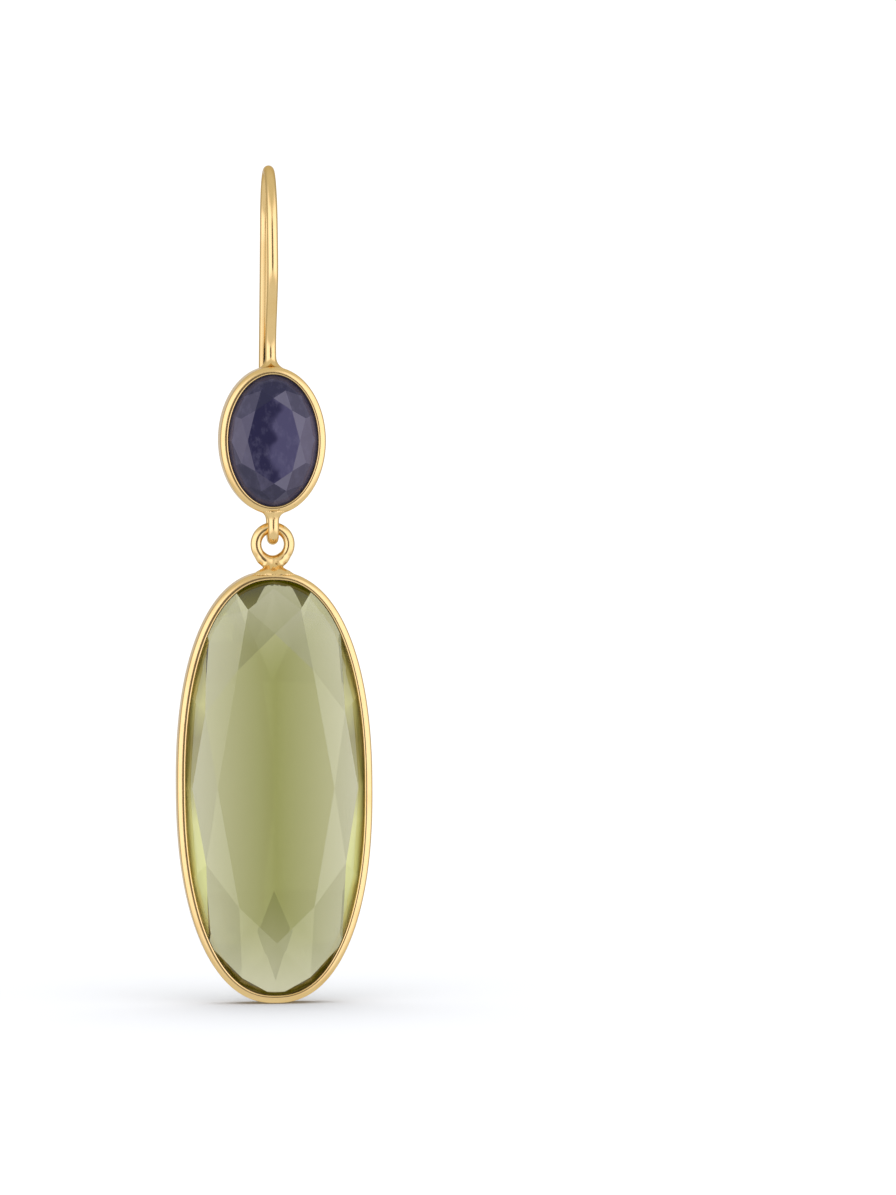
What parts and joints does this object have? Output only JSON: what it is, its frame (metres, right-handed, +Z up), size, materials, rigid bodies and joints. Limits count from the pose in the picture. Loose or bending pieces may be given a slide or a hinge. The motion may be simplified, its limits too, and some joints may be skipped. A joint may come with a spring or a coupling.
{
  "type": "drop earring",
  "caption": "Drop earring on a French ear wire: an oval faceted stone in a bezel, and below it a long oval faceted stone in a bezel that swings from two linked rings.",
  "frame": {"origin": "where the ear lobe sits: the inner top of the ear wire's arch, in its middle plane", "axes": "+Z up along the hanging earring, -Y to the front of the stones, +X to the right as seen from the front"},
  "size_m": [0.0148, 0.0111, 0.0629],
  "materials": {
    "gold": "polished yellow gold plate",
    "blue_stone": "polished facets, cloudy and nearly opaque, dark violet blue",
    "green_stone": "polished facets, transparent, pale olive green"
  },
  "bodies": {
    "hook": {"ear_hook": "gold", "upper_stone": "blue_stone"},
    "drop": {"drop_setting": "gold", "drop_stone": "green_stone"}
  },
  "joints": [
    {"name": "drop_swing", "type": "hinge", "parent": "hook", "child": "drop", "pos_m": [0, -0.0018, -0.02637], "axis": [1, 0, 0], "range_deg": [-110, 110]}
  ]
}
